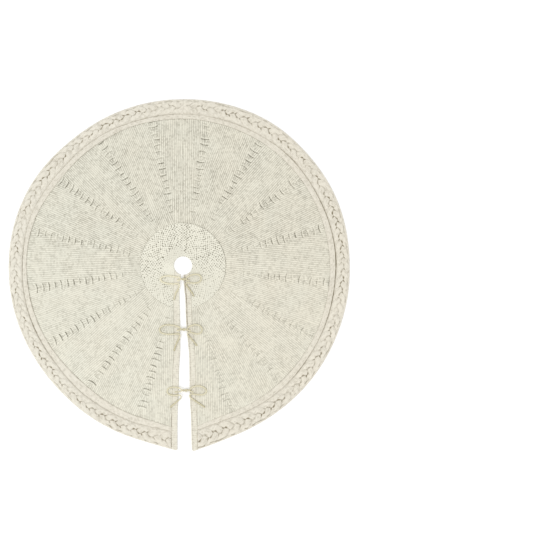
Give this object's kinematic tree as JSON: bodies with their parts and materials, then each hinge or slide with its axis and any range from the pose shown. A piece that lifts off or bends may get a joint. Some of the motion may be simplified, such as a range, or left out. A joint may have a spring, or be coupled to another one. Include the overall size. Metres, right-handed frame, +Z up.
{
  "type": "tree skirt",
  "caption": "Round knitted tree skirt with a ladder-seamed centre, a plaited cable border, a trunk hole and a front slit closed by tied cords; folds in half.",
  "frame": {"origin": "centre of the trunk hole at the underside of the cloth", "axes": "+Z up through the trunk hole, +Y to the back centre, with the slit running to -Y, +X to the right"},
  "size_m": [1.2191, 1.242, 0.0138],
  "materials": {
    "gore_knit": "matt stockinette knit in cream yarn",
    "yoke_knit": "matt seed-stitch knit in cream yarn",
    "border_knit": "matt plaited cable knit in cream yarn",
    "band_knit": "matt ribbed knit in cream yarn",
    "tie_cord": "twisted cream cord"
  },
  "bodies": {
    "right_half": {"yoke_right": "yoke_knit", "gore_back_right": "gore_knit", "gore_1_right": "gore_knit", "gore_2_right": "gore_knit", "gore_3_right": "gore_knit", "gore_4_right": "gore_knit", "gore_5_right": "gore_knit", "gore_6_right": "gore_knit", "gore_7_right": "gore_knit", "gore_front_right": "gore_knit", "plain_band_right": "border_knit", "cable_border_right": "border_knit", "slit_band_right": "band_knit", "tie_top_right": "tie_cord", "tie_middle_right": "tie_cord", "tie_lower_right": "tie_cord", "knot_top": "tie_cord", "knot_middle": "tie_cord", "knot_lower": "tie_cord"},
    "left_half": {"yoke_left": "yoke_knit", "gore_back_left": "gore_knit", "gore_1_left": "gore_knit", "gore_2_left": "gore_knit", "gore_3_left": "gore_knit", "gore_4_left": "gore_knit", "gore_5_left": "gore_knit", "gore_6_left": "gore_knit", "gore_7_left": "gore_knit", "gore_front_left": "gore_knit", "plain_band_left": "border_knit", "cable_border_left": "border_knit", "slit_band_left": "band_knit", "tie_top_left": "tie_cord", "tie_middle_left": "tie_cord", "tie_lower_left": "tie_cord"}
  },
  "joints": [
    {"name": "storage_fold", "type": "hinge", "parent": "right_half", "child": "left_half", "pos_m": [0, 0, 0.016], "axis": [0, 1, 0], "range_deg": [0, 179]}
  ]
}
